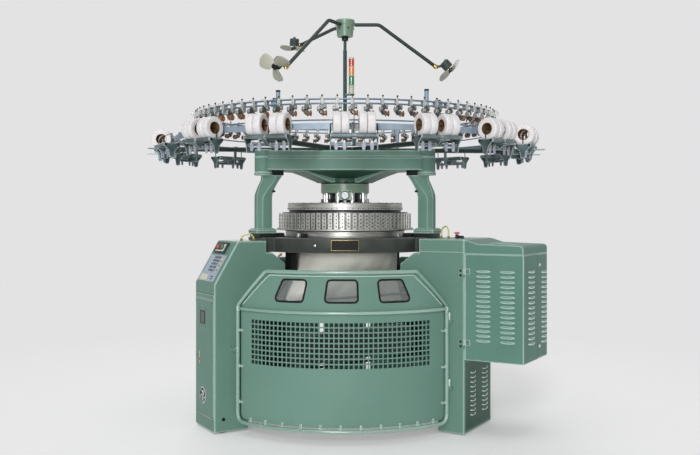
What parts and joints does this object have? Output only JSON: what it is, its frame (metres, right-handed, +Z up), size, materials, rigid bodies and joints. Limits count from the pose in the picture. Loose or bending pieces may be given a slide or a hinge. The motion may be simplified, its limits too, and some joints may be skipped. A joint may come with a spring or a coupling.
{
  "type": "circular knitting machine",
  "caption": "Large circular knitting machine with three legs, a green body, a curved front gate, a drive cabinet, spool units on an outer ring and a turning fan unit.",
  "frame": {"origin": "floor point under the middle of the machine, at the base of the bounding box", "axes": "+Z up along the needle cylinder's axis; the main gate faces -Y; the drive cabinet stands towards +X and -Y"},
  "size_m": [3.0684, 3.0684, 3.046],
  "materials": {
    "body_paint": "satin",
    "dark_paint": "satin",
    "cabinet_paint": "satin",
    "cast_bed": "satin",
    "steel": "brushed",
    "dark_steel": "matte",
    "ring_paint": "satin",
    "chrome": "polished",
    "rubber": "matte",
    "seal_rubber": "matte",
    "pane": "clear",
    "spool_yarn": "wound",
    "knit": "knitted",
    "cloth": "rolled",
    "black_plastic": "matte",
    "panel_plastic": "matte",
    "insert_plastic": "gloss",
    "start_green": "gloss",
    "stop_red": "gloss",
    "lens": "gloss",
    "lamp_grey": "matte",
    "fan_grey": "matte",
    "head_green": "satin"
  },
  "bodies": {
    "machine_frame": {"control_leg": "body_paint", "drive_leg": "body_paint", "rear_leg": "body_paint", "levelling_feet": "dark_steel", "control_plate": "panel_plastic", "console_inserts": "insert_plastic", "end_cover": "body_paint", "bed": "cast_bed", "bearing_race": "steel", "main_motor": "dark_paint", "drive_belt": "rubber", "cam_ring": "head_green", "cam_boxes": "dark_steel", "dial_cam_ring": "head_green", "hub_housing": "body_paint", "height_gauge": "black_plastic", "uprights": "body_paint", "crown_plate": "body_paint", "fixed_hinges": "body_paint", "cabinet_shell": "cabinet_paint", "yarn_rings": "ring_paint", "feeders": "dark_steel", "feeder_wheels": "black_plastic", "spool_ring": "ring_paint", "ring_arms": "ring_paint", "ring_posts": "dark_steel", "unit_frames": "ring_paint", "unit_rollers": "chrome", "spools": "spool_yarn", "mast": "steel", "lamp_housing": "lamp_grey", "lamp_lenses": "lens"},
    "cylinder": {"needle_cylinder": "steel", "ring_gear": "steel", "takedown_frame": "dark_paint", "fabric_tube": "knit"},
    "nip_a": {"nip_roller_a": "steel"},
    "nip_b": {"nip_roller_b": "steel"},
    "cloth": {"cloth_roll": "cloth"},
    "dial_plate": {"dial": "steel"},
    "drive_shaft": {"main_shaft": "steel"},
    "motor_rotor": {"motor_pulley": "steel"},
    "fan_head": {"fan_hub": "fan_grey", "fan_arms": "dark_steel"},
    "rotor_right": {"fan_rotor_right": "fan_grey"},
    "rotor_front": {"fan_rotor_front": "fan_grey"},
    "rotor_rear": {"fan_rotor_rear": "fan_grey"},
    "front_gate": {"front_gate_frame": "body_paint", "front_gate_panel": "body_paint", "front_gate_seals": "seal_rubber", "front_gate_panes": "pane"},
    "front_catch": {"gate_catch": "chrome"},
    "back_left_gate": {"rear_left_gate": "body_paint"},
    "back_right_gate": {"rear_right_gate": "body_paint"},
    "door": {"cabinet_door": "cabinet_paint"},
    "handle_up": {"upper_handle": "chrome"},
    "handle_low": {"lower_handle": "chrome"},
    "start": {"start_button": "start_green"},
    "stop": {"stop_button": "stop_red"},
    "knob": {"adjusting_knob": "black_plastic"}
  },
  "joints": [
    {"name": "cylinder_spin", "type": "hinge", "parent": "machine_frame", "child": "cylinder", "pos_m": [0, 0, 1.3], "axis": [0, 0, 1], "continuous": true},
    {"name": "dial_spin", "type": "hinge", "parent": "machine_frame", "child": "dial_plate", "pos_m": [0, 0, 1.56], "axis": [0, 0, 1], "continuous": true},
    {"name": "drive_shaft_spin", "type": "hinge", "parent": "machine_frame", "child": "drive_shaft", "pos_m": [0.57254, -0.33056, 1.3], "axis": [0, 0, 1], "continuous": true},
    {"name": "motor_spin", "type": "hinge", "parent": "machine_frame", "child": "motor_rotor", "pos_m": [1.14315, -0.66, 1.1], "axis": [0, 0, 1], "continuous": true},
    {"name": "nip_a_spin", "type": "hinge", "parent": "cylinder", "child": "nip_a", "pos_m": [-0.02333, 0.02781, 0.8], "axis": [-0.766, -0.6428, 0], "continuous": true},
    {"name": "nip_b_spin", "type": "hinge", "parent": "cylinder", "child": "nip_b", "pos_m": [0.02333, -0.02781, 0.8], "axis": [-0.766, -0.6428, 0], "continuous": true},
    {"name": "cloth_spin", "type": "hinge", "parent": "cylinder", "child": "cloth", "pos_m": [0, 0, 0.52], "axis": [-0.766, -0.6428, 0], "continuous": true},
    {"name": "fan_head_spin", "type": "hinge", "parent": "machine_frame", "child": "fan_head", "pos_m": [0, 0, 2.95], "axis": [0, 0, 1], "continuous": true},
    {"name": "rotor_right_spin", "type": "hinge", "parent": "fan_head", "child": "rotor_right", "pos_m": [0.787, 0, 2.698], "axis": [0.6816, 0, -0.7317], "continuous": true},
    {"name": "rotor_front_spin", "type": "hinge", "parent": "fan_head", "child": "rotor_front", "pos_m": [-0.468, -0.7, 2.6], "axis": [-0.3586, -0.7171, -0.5976], "continuous": true},
    {"name": "rotor_rear_spin", "type": "hinge", "parent": "fan_head", "child": "rotor_rear", "pos_m": [-0.432, 0.668, 3], "axis": [-0.0803, 0.1606, -0.9837], "continuous": true},
    {"name": "front_gate_hinge", "type": "hinge", "parent": "machine_frame", "child": "front_gate", "pos_m": [0.72662, -0.73706, 0.6], "axis": [0, 0, 1], "range_deg": [0, 63]},
    {"name": "catch_turn", "type": "hinge", "parent": "front_gate", "child": "front_catch", "pos_m": [-0.74961, -0.70639, 0.59], "axis": [-0.7278, -0.6858, 0], "range_deg": [0, 90]},
    {"name": "back_left_gate_hinge", "type": "hinge", "parent": "machine_frame", "child": "back_left_gate", "pos_m": [-0.202, 1.0151, 0.6], "axis": [0, 0, -1], "range_deg": [0, 95]},
    {"name": "back_right_gate_hinge", "type": "hinge", "parent": "machine_frame", "child": "back_right_gate", "pos_m": [0.202, 1.0151, 0.6], "axis": [0, 0, 1], "range_deg": [0, 95]},
    {"name": "door_hinge", "type": "hinge", "parent": "machine_frame", "child": "door", "pos_m": [0.82308, -0.78039, 0.9], "axis": [0, 0, -1], "range_deg": [0, 57]},
    {"name": "upper_handle_turn", "type": "hinge", "parent": "machine_frame", "child": "handle_up", "pos_m": [1.35979, -0.70078, 1.184], "axis": [0.866, -0.5, 0], "range_deg": [0, 90]},
    {"name": "lower_handle_turn", "type": "hinge", "parent": "machine_frame", "child": "handle_low", "pos_m": [1.35979, -0.70078, 0.615], "axis": [0.866, -0.5, 0], "range_deg": [0, 90]},
    {"name": "start_push", "type": "slide", "parent": "machine_frame", "child": "start", "axis": [0.7454, 0.4304, -0.509], "range_m": [0, 0.003], "stiffness_N_per_m": 400, "springref_m": -0.002},
    {"name": "stop_push", "type": "slide", "parent": "machine_frame", "child": "stop", "axis": [0.7454, 0.4304, -0.509], "range_m": [0, 0.003], "stiffness_N_per_m": 400, "springref_m": -0.002},
    {"name": "knob_turn", "type": "hinge", "parent": "machine_frame", "child": "knob", "pos_m": [0, -0.27, 1.786], "axis": [0, -1, 0], "range_deg": [-180, 180]}
  ],
  "couplings": [
    {"joint": "dial_spin", "follows": "cylinder_spin", "ratio": 1},
    {"joint": "drive_shaft_spin", "follows": "cylinder_spin", "ratio": -9},
    {"joint": "motor_spin", "follows": "cylinder_spin", "ratio": -13.5},
    {"joint": "nip_a_spin", "follows": "cylinder_spin", "ratio": -0.5},
    {"joint": "nip_b_spin", "follows": "cylinder_spin", "ratio": 0.5},
    {"joint": "cloth_spin", "follows": "cylinder_spin", "ratio": 0.14583}
  ]
}
